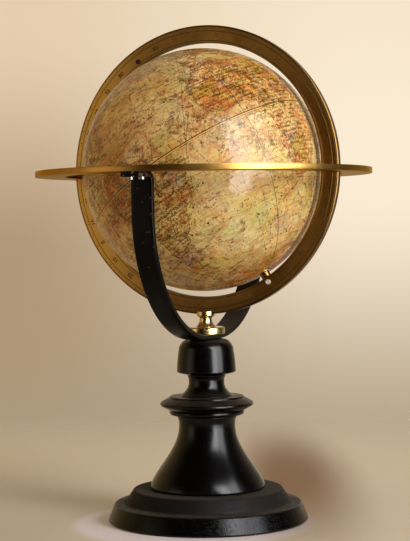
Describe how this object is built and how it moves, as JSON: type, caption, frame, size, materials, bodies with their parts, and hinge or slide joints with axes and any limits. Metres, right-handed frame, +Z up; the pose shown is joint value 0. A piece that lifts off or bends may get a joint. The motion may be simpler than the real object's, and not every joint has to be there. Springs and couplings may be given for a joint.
{
  "type": "terrestrial globe",
  "caption": "Small antique table globe turning on polar pins in a brass meridian ring, with a horizon ring on a U-shaped strap and a turned black wooden stand.",
  "frame": {"origin": "centre of the base's underside", "axes": "+Z up; the meridian ring stands in the XZ plane with the north pole leaning towards -X; the strap stands in the YZ plane"},
  "size_m": [0.211, 0.211, 0.3109],
  "materials": {
    "ebonised_wood": "black stained and polished turned wood, dusty on the ledges",
    "raw_wood": "plain turned softwood",
    "iron": "dull forged iron",
    "japanned_strap": "satin black japanning, chipped at the edges",
    "bright_brass": "polished brass",
    "aged_brass": "brown aged lacquered brass with engraved divisions",
    "steel": "plain turned steel",
    "pasteboard": "moulded pasteboard",
    "plaster": "smoothed plaster",
    "map_paper": "printed and hand-coloured map under yellowed varnish"
  },
  "bodies": {
    "stand": {"base": "ebonised_wood", "pedestal": "ebonised_wood", "collar": "ebonised_wood", "dome_cap": "ebonised_wood", "tie_rod": "iron", "tie_washer": "iron", "tie_nut": "iron", "yoke_strap": "japanned_strap", "yoke_screws": "steel", "clamp_washer": "bright_brass", "ring_fork": "bright_brass", "horizon_ring": "aged_brass"},
    "meridian": {"meridian_ring": "aged_brass", "north_pin": "steel", "south_pin": "steel", "north_spacer": "bright_brass", "south_spacer": "bright_brass", "pin_lock_screws": "steel"},
    "globe": {"north_bush": "bright_brass", "south_bush": "bright_brass", "axle_post": "raw_wood", "shell_nails": "iron", "north_shell": "pasteboard", "south_shell": "pasteboard", "plaster_coat": "plaster", "map_gores": "map_paper", "map_calottes": "map_paper"}
  },
  "joints": [
    {"name": "meridian_turn", "type": "hinge", "parent": "stand", "child": "meridian", "pos_m": [0, 0, 0.2204], "axis": [0, 1, 0], "continuous": true},
    {"name": "globe_spin", "type": "hinge", "parent": "meridian", "child": "globe", "pos_m": [0, 0, 0.2204], "axis": [-0.5299, 0, 0.848], "continuous": true}
  ]
}
